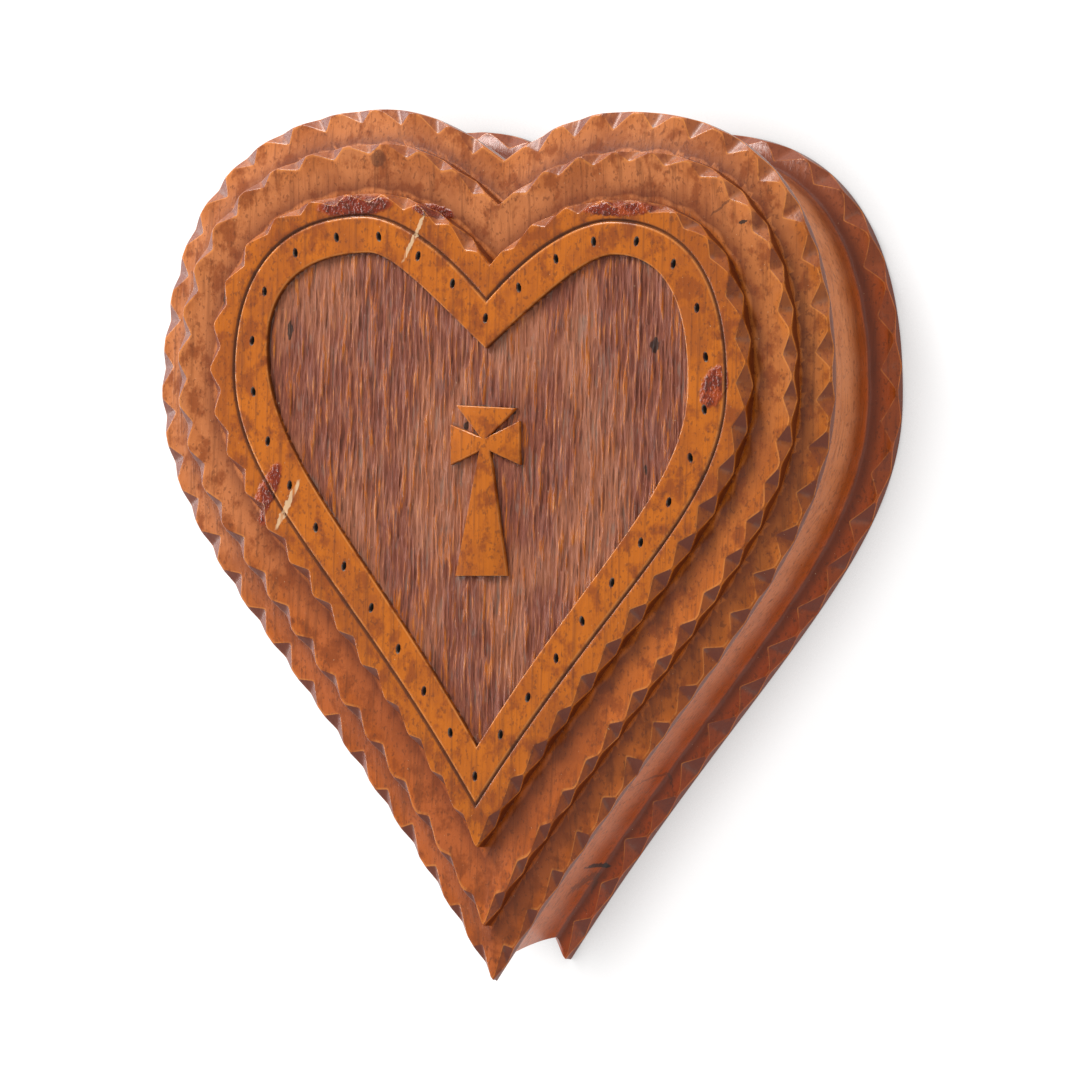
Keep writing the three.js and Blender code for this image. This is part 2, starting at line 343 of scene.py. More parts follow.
def stations_between(heart, breaks, spacing):
    """Stations round a heart as (side, share) rows: cleft, down the left side, tip, up the right.

    `breaks` holds for each side the distances at which a station has to stand."""
    rows = []
    for side in (0, 1):
        length = half_length(heart, side)
        stops = np.array([0, *breaks[side], length])
        run = np.concatenate([
            np.linspace(start, end, max(1, round((end - start) / spacing)), endpoint=False)
            for start, end in zip(stops[:-1], stops[1:])
        ])
        shares = np.append(run, length) / length
        shares = shares if side == 0 else shares[1:-1][::-1]
        rows.append(np.column_stack((np.full(len(shares), side), shares)))
    return np.vstack(rows)


def chip_spacing(row, length, side):
    """The distance between the middles of neighbouring chips, and how far each reaches."""
    pitch = (length - sum(row["gaps"])) / (row["counts"][side] - 1)
    return pitch, min(CHIP_SHARE * pitch, TIP_SHARE * row["gaps"][1])


def chip_stations(heart, row):
    breaks = []
    for side in (0, 1):
        pitch, reach = chip_spacing(row, half_length(heart, side), side)
        middles = row["gaps"][0] + pitch * np.arange(row["counts"][side])
        breaks.append(np.sort(np.concatenate((middles - reach, middles, middles + reach))))
    return stations_between(heart, breaks, STATION_SPACING)


def ring(heart, stations, height):
    """The points of a heart at the stations, at one height."""
    points = np.full((len(stations), 3), float(height))
    for side in (0, 1):
        line, run = half_line(heart, side)
        chosen = stations[:, 0] == side
        along = stations[chosen, 1] * run[-1]
        points[chosen, 0] = np.interp(along, run, line[:, 0])
        points[chosen, 1] = np.interp(along, run, line[:, 1])
    return points


def level(heart, inset, height, dirt_and_shade=0, bare=0, edge=0):
    """A plain ring of a blank: a heart drawn in by `inset`, and the marks for its finish."""
    return (lambda stations: ring(shrink(heart, inset), stations, height)), (dirt_and_shade, bare, edge)


def between(outer, inner, share, height):
    """A plain ring that lies part of the way from one heart to another."""
    def make(stations):
        return ring(outer, stations, height) * (1 - share) + ring(inner, stations, height) * share

    return make, (0, 0, 0)


# Meshes


def put(name, data):
    """A new object in the scene, at the origin."""
    piece = bpy.data.objects.new(name, data)
    bpy.context.scene.collection.objects.link(piece)
    return piece


def skin(name, rings, closed_round=False):
    """A closed mesh over rings that run counter-clockwise, capped or joined last to first."""
    count, levels = len(rings[0]), len(rings)
    points = np.vstack(rings) * MM
    here = np.arange(count)
    after = (here + 1) % count
    faces = []
    for level in range(levels if closed_round else levels - 1):
        low, high = level * count, (level + 1) % levels * count
        faces += np.column_stack((low + here, low + after, high + after, high + here)).tolist()
    if not closed_round:
        faces.append((count - 1 - here).tolist())
        faces.append(((levels - 1) * count + here).tolist())
    mesh = bpy.data.meshes.new(name)
    mesh.from_pydata(points.tolist(), [], faces)
    mesh.update()
    return put(name, mesh)


def store(piece, name, values, kind="FLOAT"):
    attribute = piece.data.attributes.new(name, kind, "POINT")
    field = "vector" if kind == "FLOAT_VECTOR" else "value"
    attribute.data.foreach_set(field, np.asarray(values, np.float32).ravel())


def row_blank(name, heart, inner, row, below, above, closed_round=False):
    """The blank of a chipped step: plain rings below and above, and the row's rings on its arris.

    The row's rings all start on the arris. Chip Row spreads them over side, chips and ledge."""
    stations = chip_stations(heart, row)
    arris = ring(heart, stations, 0)
    inward = ring(inner, stations, 0) - arris
    plain_below, plain_above = ([make(stations) for make, _ in part] for part in (below, above))
    rings = plain_below + [arris] * len(ROW_ROLES) + plain_above
    piece = skin(name, rings, closed_round)
    lengths = np.array([half_length(heart, side) for side in (0, 1)])
    sides = stations[:, 0]
    along = stations[:, 1] * lengths[sides.astype(int)]
    roles = [PLAIN] * len(below) + list(ROW_ROLES) + [PLAIN] * len(above)
    store(piece, "side", np.tile(sides, len(rings)))
    store(piece, "along", np.tile(along * MM, len(rings)))
    store(piece, "inward", np.tile(inward * MM, (len(rings), 1)), "FLOAT_VECTOR")
    store(piece, "role", np.repeat(roles, len(stations)))
    no_marks = [(None, (0, 0, 0))] * len(ROW_ROLES)
    marks = np.array([values for _, values in below + no_marks + above], float)
    for place, mark in enumerate(MARKS):
        store(piece, mark, np.repeat(marks[:, place], len(stations)))
    return piece


def as_plain_mesh(piece):
    """Replaces the mesh by the evaluated one, so that no modifier is left."""
    graph = bpy.context.evaluated_depsgraph_get()
    evaluated = piece.evaluated_get(graph)
    made = bpy.data.meshes.new_from_object(evaluated, preserve_all_data_layers=True, depsgraph=graph)
    piece.modifiers.clear()
    piece.data = made
    made.name = piece.name
    return piece


def run_tree(piece, tree, values):
    """Runs a node tree on a piece, with its inputs set by the sockets' identifiers."""
    modifier = piece.modifiers.new(tree.name, "NODES")
    modifier.node_group = tree
    for item in tree.interface.items_tree:
        if item.item_type == "SOCKET" and item.in_out == "INPUT" and item.name in values:
            modifier[item.identifier] = values[item.name]
    return as_plain_mesh(piece)


def combine(piece, other, operation):
    """Joins another piece on, or cuts it away, and removes it."""
    modifier = piece.modifiers.new(operation.title(), "BOOLEAN")
    modifier.operation = operation
    modifier.solver = "MANIFOLD"
    modifier.material_mode = "TRANSFER"
    modifier.object = other
    as_plain_mesh(piece)
    bpy.data.objects.remove(other)
    return piece


def new_tree(name, **inputs):
    """A geometry tree with a geometry input and output, and inputs by kind, name and default."""
    tree = bpy.data.node_groups.new(name, "GeometryNodeTree")
    tree.is_modifier = True
    sockets = tree.interface.new_socket
    sockets("Geometry", in_out="INPUT", socket_type="NodeSocketGeometry")
    for kind, defaults in inputs.items():
        for label, default in defaults.items():
            socket = sockets(label, in_out="INPUT", socket_type="NodeSocket" + kind)
            if default is not None:
                socket.default_value = default
    sockets("Geometry", in_out="OUTPUT", socket_type="NodeSocketGeometry")
    return tree, add(tree, "NodeGroupInput").outputs


# Geometry Nodes


def chip_row_tree():
    """Cuts V chips across an arris: each side's chips stand at an even pitch from the cleft."""
    tree, given = new_tree("Chip Row", Float={
        "Chips Left": 24, "Chips Right": 24, "Length Left": 0.2, "Length Right": 0.2,
        "Cleft Gap": 0.009, "Tip Gap": 0.005, "Cut": 0.003, "Drop": 0.002, "Blunt": 0.00025,
        "Swing": 0.1, "Wobble": 0.0001, "Foot": 0, "Arris": 0.002, "Ledge End": 0.004, "Dish": 0,
        "Bend": 1,
    }, Int={"Seed": 0}, Material={"Wood": None})
    known = {socket.name: socket for socket in given}
    for name in ("side", "along", "role", "edge", "inward"):
        kind = "FLOAT_VECTOR" if name == "inward" else "FLOAT"
        known[name] = add(tree, "GeometryNodeInputNamedAttribute", {"Name": name}, data_type=kind)
    for name in ("Chips", "Length"):
        ends = {2: given[name + " Left"], 3: given[name + " Right"]}
        known[name] = add(tree, "ShaderNodeMix", {0: known["side"], **ends})
    role = known["role"]

    # The nearest chip in the row and how far off its middle is. Its depth swings with its place in
    # the row, and a little at random.
    for name, operation, *terms in (
        ("spaces", "SUBTRACT", "Chips", 1),
        ("gaps", "ADD", "Cleft Gap", "Tip Gap"),
        ("filled", "SUBTRACT", "Length", "gaps"),
        ("pitch", "DIVIDE", "filled", "spaces"),
        ("gone", "SUBTRACT", "along", "Cleft Gap"),
        ("place", "DIVIDE", "gone", "pitch"),
        ("whole", "ROUND", "place"),
        ("not before first", "MAXIMUM", "whole", 0),
        ("index", "MINIMUM", "not before first", "spaces"),
        ("middle", "MULTIPLY", "index", "pitch"),
        ("signed", "SUBTRACT", "gone", "middle"),
        ("miss", "ABSOLUTE", "signed"),
        ("wide", "MULTIPLY", "pitch", CHIP_SHARE),
        ("narrow", "MULTIPLY", "Tip Gap", TIP_SHARE),
        ("reach", "MINIMUM", "wide", "narrow"),
        ("turn", "MULTIPLY_ADD", "index", SWING_PACE, "side"),
        ("wave", "SINE", "turn"),
        ("lifted", "ADD", "wave", 1),
        ("loss", "MULTIPLY", "lifted", "Swing"),
        ("sound", "SUBTRACT", 1, "loss"),
        ("number", "MULTIPLY_ADD", "side", 100, "index"),
    ):
        inputs = {at: known.get(term, term) for at, term in enumerate(terms)}
        known[name] = add(tree, MATH, inputs, operation=operation)
    near = add(tree, RANGE, {"Value": known["miss"], "From Max": known["reach"], "To Min": 1, "To Max": 0})
    chance = add(tree, "FunctionNodeRandomValue", {
        2: 0.9, 3: 1, "ID": known["number"], "Seed": given["Seed"],
    })
    depth = add(tree, MATH, {0: known["sound"], 1: chance.outputs[1]}, operation="MULTIPLY")
    cut = add(tree, MATH, {0: depth, 1: near}, operation="MULTIPLY")

    # How far the chip goes in and down here, and where this ring lies between foot and ledge end
    back, down = (
        add(tree, RANGE, {"Value": cut, "To Min": given["Blunt"], "To Max": given[name]})
        for name in ("Cut", "Drop")
    )
    across = add(tree, VECTOR, {0: known["inward"]}, operation="LENGTH")
    rest = add(tree, MATH, {0: across.outputs["Value"], 1: back}, operation="SUBTRACT")
    on_chip = add(tree, RANGE, {"Value": role, "From Min": 1, "From Max": 2, "To Max": back})
    on_ledge = add(tree, RANGE, {"Value": role, "From Min": 2, "From Max": 3, "To Max": rest})
    inset = add(tree, MATH, {0: on_chip, 1: on_ledge}, operation="ADD")
    lower = add(tree, MATH, {0: given["Arris"], 1: down}, operation="SUBTRACT")

    # The ledge's height at the chip's upper end and at this ring
    heights = []
    shares = []
    for distance in (back, inset):
        share = add(tree, MATH, {0: distance, 1: across.outputs["Value"]}, operation="DIVIDE")
        bent = add(tree, MATH, {0: share, 1: given["Bend"]}, operation="POWER")
        flat = add(tree, RANGE, {"Value": bent, "To Min": given["Arris"], "To Max": given["Ledge End"]})
        angle = add(tree, MATH, {0: share, 1: math.pi}, operation="MULTIPLY")
        arch = add(tree, MATH, {0: angle}, operation="SINE")
        hollow = add(tree, MATH, {0: arch, 1: given["Dish"]}, operation="MULTIPLY")
        height = add(tree, MATH, {0: flat, 1: hollow}, operation="SUBTRACT")
        heights.append(height.outputs[0])
        shares.append(share.outputs[0])
    on_side = add(tree, RANGE, {"Value": role, "To Min": given["Foot"], "To Max": lower})
    on_facet = add(tree, RANGE, {
        "Value": role, "From Min": 1, "From Max": 2, "To Min": lower, "To Max": heights[0],
    })
    in_row, above_side, above_chip = (
        add(tree, "FunctionNodeCompare", {0: role, 1: least}, operation="GREATER_EQUAL")
        for least in (0, 1, 2)
    )
    level = on_side
    for switch, above in ((above_side, on_facet), (above_chip, heights[1])):
        choice = {"Switch": switch, "False": level, "True": above}
        level = add(tree, SWITCH, choice, input_type="FLOAT")

    place_now = add(tree, "GeometryNodeInputPosition")
    inward = add(tree, VECTOR, {0: known["inward"]}, operation="NORMALIZE")
    stepped = add(tree, VECTOR, {0: inward, "Scale": inset}, operation="SCALE")
    moved = add(tree, VECTOR, {0: place_now, 1: stepped}, operation="ADD")
    raised = add(tree, "ShaderNodeCombineXYZ", {"Z": level})
    target = add(tree, VECTOR, {0: moved, 1: raised}, operation="ADD")
    spread = add(tree, PLACE, {"Geometry": given["Geometry"], "Selection": in_row, "Position": target})

    # Worn edges: each point moves a little towards its neighbours, and the knife line wanders
    soft = add(tree, "GeometryNodeBlurAttribute", {
        "Value": place_now, "Weight": 0.5,
    }, data_type="FLOAT_VECTOR")
    above_foot = add(tree, "FunctionNodeCompare", {0: role, 1: 0.1}, operation="GREATER_THAN")
    worn = add(tree, PLACE, {"Geometry": spread, "Selection": above_foot, "Position": soft})
    stray = add(tree, NOISE, {"Vector": place_now, "Scale": WOBBLE_PACE, "Detail": 2})
    half = (0.5, 0.5, 0.5)
    centred = add(tree, VECTOR, {0: stray.outputs["Color"], 1: half}, operation="SUBTRACT")
    wander = add(tree, VECTOR, {0: centred, "Scale": given["Wobble"]}, operation="SCALE")
    wandered = add(tree, PLACE, {"Geometry": worn, "Selection": above_foot, "Offset": wander})

    # What the finish needs to know: chips, whose facets take painted shade, their dusty valleys, edges for
    # wear and painted highlight, and the ledge's inner end, near which painted shade is laid
    on_chips = add(tree, MATH, {0: role, 1: 1.5, 2: 0.46}, operation="COMPARE")
    gain = add(tree, MATH, {0: cut, 1: 25}, operation="MULTIPLY", use_clamp=True)
    chip = add(tree, MATH, {0: gain, 1: on_chips}, operation="MULTIPLY")
    deep = add(tree, MATH, {0: near, 1: 5}, operation="POWER")
    below_arris = add(tree, RANGE, {
        "Value": role, "From Min": 0.85, "From Max": 1, "To Min": 1, "To Max": 0,
    })
    valley = add(tree, MATH, {0: deep, 1: on_chips}, operation="MULTIPLY")
    foot = add(tree, MATH, {0: below_arris, 1: in_row}, operation="MULTIPLY")
    choice = {"Switch": above_chip, "False": foot, "True": shares[1]}
    past = add(tree, SWITCH, choice, input_type="FLOAT")
    edge = known["edge"]
    for arris in (1, 2):
        off = add(tree, MATH, {0: role, 1: arris}, operation="SUBTRACT")
        apart = add(tree, MATH, {0: off}, operation="ABSOLUTE")
        close = add(tree, RANGE, {"Value": apart, "From Max": 0.05, "To Min": 1, "To Max": 0})
        edge = add(tree, MATH, {0: edge, 1: close}, operation="MAXIMUM")
    last = wandered
    for name, value in (("chip", chip), ("valley", valley), ("ledge", past), ("edge", edge)):
        last = add(tree, STORE, {"Geometry": last, "Name": name, "Value": value})
    real = add(tree, "GeometryNodeRealizeInstances", {"Geometry": last})
    finish = add(tree, "GeometryNodeSetMaterial", {"Geometry": real, "Material": given["Wood"]})
    add(tree, "NodeGroupOutput", {"Geometry": finish})
    return tree


def carve_row(piece, name, foot, arris, wood, sizes):
    """Runs Chip Row on a blank with the row's own numbers."""
    row, heart = CHIP_ROWS[name], HEARTS[name]
    end, dish, bend = row["ledge"]
    lengths = {
        "Length Left": half_length(heart, 0), "Length Right": half_length(heart, 1),
        "Cleft Gap": row["gaps"][0], "Tip Gap": row["gaps"][1], "Cut": row["cut"], "Drop": row["drop"],
        "Foot": foot, "Arris": arris, "Ledge End": end, "Dish": dish,
    }
    tree = bpy.data.node_groups.get("Chip Row") or chip_row_tree()
    return run_tree(piece, tree, {
        **{label: millimetres * MM for label, millimetres in lengths.items()},
        "Chips Left": float(row["counts"][0]), "Chips Right": float(row["counts"][1]),
        "Blunt": sizes.blunt, "Swing": sizes.swing, "Wobble": sizes.wobble, "Bend": float(bend),
        "Seed": sizes.seed, "Wood": wood,
    })


def gouged_ground_tree():
    """A block whose top is combed by gouge strokes that run along the grain."""
    tree, given = new_tree("Gouged Ground", Float={
        "Width": 0.11, "Length": 0.11, "Floor": 0.034, "Block": 0.002,
        "Stroke Width": 0.001, "Stroke Length": 0.015, "Stroke Depth": 0.0004,
    }, Int={"Columns": 300, "Rows": 100}, Material={"Wood": None})
    grid = add(tree, "GeometryNodeMeshGrid", {
        "Size X": given["Width"], "Size Y": given["Length"], "Vertices X": given["Columns"],
        "Vertices Y": given["Rows"],
    })
    place = add(tree, "GeometryNodeInputPosition")
    across = add(tree, MATH, {0: 1, 1: given["Stroke Width"]}, operation="DIVIDE")
    along = add(tree, MATH, {0: 1, 1: given["Stroke Length"]}, operation="DIVIDE")
    pace = add(tree, "ShaderNodeCombineXYZ", {"X": across, "Y": along})
    stretched = add(tree, VECTOR, {0: place, 1: pace}, operation="MULTIPLY")
    bend = add(tree, NOISE, {"Vector": place, "Scale": 90, "Detail": 2}, noise_dimensions="2D")
    lean = add(tree, VECTOR, {
        0: bend.outputs["Color"], 1: (2.4, 0.5, 0), 2: stretched,
    }, operation="MULTIPLY_ADD")
    scoops = add(tree, "ShaderNodeTexVoronoi", {
        "Vector": lean, "Scale": 1, "Randomness": 0.9,
    }, voronoi_dimensions="2D")
    edges = add(tree, RANGE, {
        "Value": scoops.outputs["Distance"], "From Min": 0.1, "From Max": 0.75, "To Max": 0.62,
    }, interpolation_type="SMOOTHSTEP")
    fibres = add(tree, VECTOR, {0: lean, 1: (2.1, 1.3, 0)}, operation="MULTIPLY")
    fine = add(tree, NOISE, {
        "Vector": fibres, "Scale": 1, "Detail": 2, "Roughness": 0.6,
    }, noise_dimensions="2D")
    left = add(tree, VECTOR, {0: lean, 1: (0.62, 0.85, 0), 2: (7.3, 2.1, 0)}, operation="MULTIPLY_ADD")
    standing = add(tree, NOISE, {"Vector": left, "Scale": 1, "Detail": 0}, noise_dimensions="2D")
    ridges = add(tree, RANGE, {
        "Value": standing.outputs["Fac"], "From Min": 0.6, "From Max": 0.72, "To Max": 0.5,
    }, interpolation_type="SMOOTHSTEP")
    low = add(tree, MATH, {0: fine.outputs["Fac"], 1: 0.42, 2: edges}, operation="MULTIPLY_ADD")
    relief = add(tree, MATH, {0: low, 1: ridges}, operation="ADD", use_clamp=True)
    rise = add(tree, MATH, {
        0: relief, 1: given["Stroke Depth"], 2: given["Floor"],
    }, operation="MULTIPLY_ADD")
    lift = add(tree, "ShaderNodeCombineXYZ", {"Z": rise})
    combed = add(tree, PLACE, {"Geometry": grid.outputs["Mesh"], "Offset": lift})
    top = combed
    for name, value in (("relief", relief), ("ridge", ridges)):
        top = add(tree, STORE, {"Geometry": top, "Name": name, "Value": value})
    below = add(tree, MATH, {0: given["Block"], 1: -1}, operation="MULTIPLY")
    down = add(tree, "ShaderNodeCombineXYZ", {"Z": below})
    block = add(tree, "GeometryNodeExtrudeMesh", {
        "Mesh": top, "Offset": down, "Individual": False,
    }, mode="FACES")
    turned = add(tree, "GeometryNodeFlipFaces", {"Mesh": block.outputs["Mesh"]})
    both = add(tree, "GeometryNodeJoinGeometry", {0: turned})
    tree.links.new(top.outputs[0], both.inputs[0])
    closed = add(tree, "GeometryNodeMergeByDistance", {"Geometry": both, "Distance": 0.00001})
    real = add(tree, "GeometryNodeRealizeInstances", {"Geometry": closed})
    finish = add(tree, "GeometryNodeSetMaterial", {"Geometry": real, "Material": given["Wood"]})
    add(tree, "NodeGroupOutput", {"Geometry": finish})
    return tree


def pricked_line_tree():
    """Awl points along lines: eight-sided spikes that are then cut out of the band."""
    tree, given = new_tree("Pricked Line", Float={
        "Prick Width": 0.001, "Prick Length": 0.0015, "Prick Depth": 0.0015, "Clear": 0.0003,
    }, Int={"Pricks": 18, "Seed": 0}, Material={"Wood": None})
    lines = add(tree, "GeometryNodeMeshToCurve", {"Mesh": given["Geometry"]})
    spaced = add(tree, "GeometryNodeResampleCurve", {"Curve": lines, "Count": given["Pricks"]})
    points = add(tree, "GeometryNodeCurveToPoints", {"Curve": spaced}, mode="EVALUATED")
    single = add(tree, "GeometryNodeMergeByDistance", {"Geometry": points, "Distance": 0.001})
    stray = add(tree, "FunctionNodeRandomValue", {
        0: (-0.0003, -0.0003, 0), 1: (0.0003, 0.0003, 0), "Seed": given["Seed"],
    }, data_type="FLOAT_VECTOR")
    by_hand = add(tree, PLACE, {"Geometry": single, "Offset": stray})
    whole = add(tree, MATH, {0: given["Prick Depth"], 1: given["Clear"]}, operation="ADD")
    spike = add(tree, "GeometryNodeMeshCone", {
        "Vertices": 8, "Radius Top": 0.5, "Radius Bottom": 0.0, "Depth": 1,
    }, fill_type="NGON")
    shape = add(tree, "ShaderNodeCombineXYZ", {
        "X": given["Prick Width"], "Y": given["Prick Length"], "Z": whole,
    })
    size = add(tree, "FunctionNodeRandomValue", {2: 0.95, 3: 1.2, "Seed": given["Seed"]})
    varied = add(tree, VECTOR, {0: shape, "Scale": size.outputs[1]}, operation="SCALE")
    turn = add(tree, "FunctionNodeRandomValue", {
        0: (-0.05, -0.05, -0.3), 1: (0.05, 0.05, 0.3), "Seed": given["Seed"],
    }, data_type="FLOAT_VECTOR")
    spikes = add(tree, "GeometryNodeInstanceOnPoints", {
        "Points": by_hand, "Instance": spike.outputs["Mesh"], "Rotation": turn, "Scale": varied,
    })
    real = add(tree, "GeometryNodeRealizeInstances", {"Geometry": spikes})
    below = add(tree, MATH, {0: given["Prick Depth"], 1: -1}, operation="MULTIPLY")
    down = add(tree, "ShaderNodeCombineXYZ", {"Z": below})
    sunk = add(tree, "GeometryNodeTransform", {"Geometry": real, "Translation": down})
    finish = add(tree, "GeometryNodeSetMaterial", {"Geometry": sunk, "Material": given["Wood"]})
    add(tree, "NodeGroupOutput", {"Geometry": finish})
    return tree


# Pieces of the lid


def heart_prism(name, low_heart, high_heart, low, high):
    stations = stations_between(high_heart, ((), ()), 1.2)
    return skin(name, [ring(low_heart, stations, low), ring(high_heart, stations, high)])


def third_step(wood, sizes):
    """The lowest step, with the lid's lip and underside."""
    heart = HEARTS["third"]
    row = CHIP_ROWS["third"]
    below = [
        level(heart, 2.5, LID_UNDERSIDE, bare=1),
        level(heart, 0.8, LID_UNDERSIDE, bare=1),
        level(heart, 0.35, LID_UNDERSIDE + 0.12),
        level(heart, 0.06, LIP - 0.25),
    ]
    blank = row_blank("lid_carved", heart, shrink(HEARTS["second"], 2), row, below, [])
    return carve_row(blank, "third", LIP, THIRD_ARRIS, wood, sizes)


def second_step(wood, sizes):
    inner = shrink(HEARTS["first"], 2)
    blank = row_blank("second_step", HEARTS["second"], inner, CHIP_ROWS["second"], [], [])
    return carve_row(blank, "second", SECOND_FOOT - 1, SECOND_ARRIS, wood, sizes)


def first_step(wood, sizes):
    """The top step: its chips, the scratched line and the band down to the sunk field."""
    scratch, field = HEARTS["scratch"], HEARTS["field"]
    half = sizes.scratch_width / MM / 2
    deep = sizes.scratch_depth / MM
    buried = FIRST_FOOT - 1
    above = [
        level(scratch, -half + 0.12, TOP - 0.1, dirt_and_shade=0.7),
        level(scratch, -0.08, TOP - deep, dirt_and_shade=1),
        level(scratch, 0.08, TOP - deep, dirt_and_shade=1),
        level(scratch, half - 0.12, TOP - 0.1, dirt_and_shade=0.5, edge=0.6),
        level(scratch, half, TOP - 0.02, edge=1),
    ]
    band_end = shrink(field, -0.4)
    line_end = shrink(scratch, half)
    above += [between(line_end, band_end, share, TOP) for share in (0.05, 0.15, 0.35, 0.6, 0.85)]
    above += [
        level(band_end, 0, TOP),
        level(field, -0.16, TOP - 0.03, edge=1),
        level(field, -0.03, TOP - 0.15, edge=1),
        level(field, 0.02, TOP - 0.35, dirt_and_shade=0.6),
        level(field, 0.1, FIELD_FLOOR + 0.1, dirt_and_shade=1),
        level(field, 0.1, buried, dirt_and_shade=1),
    ]
    heart, row, inner = HEARTS["first"], CHIP_ROWS["first"], shrink(scratch, -half)
    blank = row_blank("first_step", heart, inner, row, [], above, closed_round=True)
    return carve_row(blank, "first", buried, TOP, wood, sizes)


def gouged_field(wood, sizes):
    """The sunk field: a combed block, trimmed to a heart that ends inside the top step."""
    field = shrink(HEARTS["field"], -3)
    lobes, sides = field[2], field[3]
    width = sides[1][0] - sides[0][0] + 4
    length = max(lobes[0][1], lobes[1][1]) - field[1][1] + 4
    block = put("gouged_field", bpy.data.meshes.new("gouged_field"))
    run_tree(block, gouged_ground_tree(), {
        "Width": width * MM,
        "Length": length * MM,
        "Columns": int(width / 0.27),
        "Rows": int(length / 1.15),
        "Floor": FIELD_FLOOR * MM - sizes.stroke_depth / 2,
        "Block": (FIELD_FLOOR - FIRST_FOOT + 0.8) * MM,
        "Stroke Width": sizes.stroke_width,
        "Stroke Length": sizes.stroke_length,
        "Stroke Depth": sizes.stroke_depth,
        "Wood": wood,
    })
    centre = ((sides[0][0] + sides[1][0]) / 2, (lobes[0][1] + field[1][1]) / 2)
    block.data.transform(Matrix.Translation((centre[0] * MM, centre[1] * MM, 0)))
    trim = heart_prism("field_trim", field, field, FIRST_FOOT - 2, TOP + 1)
    return combine(block, trim, "INTERSECT")


def relief_cross(wood):
    """The cross left standing in the field, with its upper edges rubbed round."""
    shape = bmesh.new()
    corners = [
        shape.verts.new(((x + CROSS_CENTRE[0]) * MM, (y + CROSS_CENTRE[1]) * MM, (FIELD_FLOOR - 1) * MM))
        for x, y in reversed(CROSS_OUTLINE)
    ]
    base = shape.faces.new(corners)
    base.normal_update()
    if base.normal.z > 0:
        base.normal_flip()
    risen = bmesh.ops.extrude_face_region(shape, geom=[base], use_keep_orig=True)
    tops = [item for item in risen["geom"] if isinstance(item, bmesh.types.BMVert)]
    bmesh.ops.translate(shape, verts=tops, vec=(0, 0, (TOP - 0.1 - FIELD_FLOOR + 1) * MM))
    bmesh.ops.recalc_face_normals(shape, faces=shape.faces)
    upper = [edge for edge in shape.edges if all(vert in tops for vert in edge.verts)]
    bmesh.ops.bevel(shape, geom=upper, offset=0.22 * MM, segments=3, profile=0.5, affect="EDGES")
    bmesh.ops.triangulate(shape, faces=shape.faces)
    mesh = bpy.data.meshes.new("relief_cross")
    shape.to_mesh(mesh)
    shape.free()
    mesh.materials.append(wood)
    piece = put("relief_cross", mesh)
    heights = np.array([vertex.co.z / MM for vertex in mesh.vertices])
    flat = TOP - 0.1
    store(piece, "edge", (heights > flat - 0.25) & (heights < flat - 0.001))
    store(piece, "dirt_and_shade", heights < flat - 0.3)
    return piece


def pricks(wood, sizes):
    """Spikes for the row of pricks that runs down the middle of the band on each side."""
    scratch, field = HEARTS["scratch"], HEARTS["field"]
    at_cleft, at_tip, middle = 0.38, 0.5, 0.52

    def mix(a, b, share):
        return tuple(np.array(a) * (1 - share) + np.array(b) * share)

    path = (
        mix(scratch[0], field[0], at_cleft),
        mix(scratch[1], field[1], at_tip),
        tuple(mix(a, b, middle) for a, b in zip(scratch[2], field[2])),
        tuple(mix(a, b, middle) for a, b in zip(scratch[3], field[3])),
        (scratch[4] + field[4]) / 2,
    )
    points, edges = [], []
    for side in (0, 1):
        line = half_line(path, side)[0]
        first = len(points)
        points += [(x * MM, y * MM, TOP * MM) for x, y in line]
        edges += [(index, index + 1) for index in range(first, len(points) - 1)]
    mesh = bpy.data.meshes.new("pricks")
    mesh.from_pydata(points, edges, [])
    return run_tree(put("pricks", mesh), pricked_line_tree(), {
        "Pricks": sizes.pricks + 1,
        "Prick Width": sizes.prick_width,
        "Prick Length": sizes.prick_length,
        "Prick Depth": sizes.prick_depth,
        "Clear": 0.3 * MM,
        "Seed": sizes.seed,
        "Wood": wood,
    })


def box_blank():
    """The blank of the body: underside, flange row, coved wall, rim, hollow and its floor."""
    flange, lip = HEARTS["flange"], HEARTS["third"]
    below = [level(flange, 2, 0, bare=1), level(flange, 0.4, 0, bare=1)]
    below.append(level(flange, 0.12, 0.08, edge=0.5))
    wall_top = shrink(lip, 2.4)
    above = []
    for z in np.linspace(WALL_FOOT, RIM - 0.3, 14)[1:]:
        lean = ((z - WALL_FOOT) / (RIM - WALL_FOOT)) ** 1.5
        above.append(between(HEARTS["wall_foot"], wall_top, lean, z))
    above += [
        level(lip, 2.5, RIM - 0.08),
        level(lip, 2.75, RIM, bare=1),
        level(lip, RIM_INSET - 0.3, RIM, bare=1),
        level(lip, RIM_INSET, RIM - 0.3, bare=1),
    ]
    for share in (0.3, 0.65, 0.94):
        inset = RIM_INSET + (FLOOR_INSET - RIM_INSET) * share
        above.append(level(lip, inset, RIM + (BOX_FLOOR - RIM) * share, bare=1))
    above.append(level(lip, FLOOR_INSET + 0.3, BOX_FLOOR + 0.3, bare=1, dirt_and_shade=0.4))
    above.append(level(lip, FLOOR_INSET + 1.2, BOX_FLOOR, bare=1))
    return row_blank("box_carved", flange, HEARTS["wall_foot"], CHIP_ROWS["flange"], below, above)


# Finishes


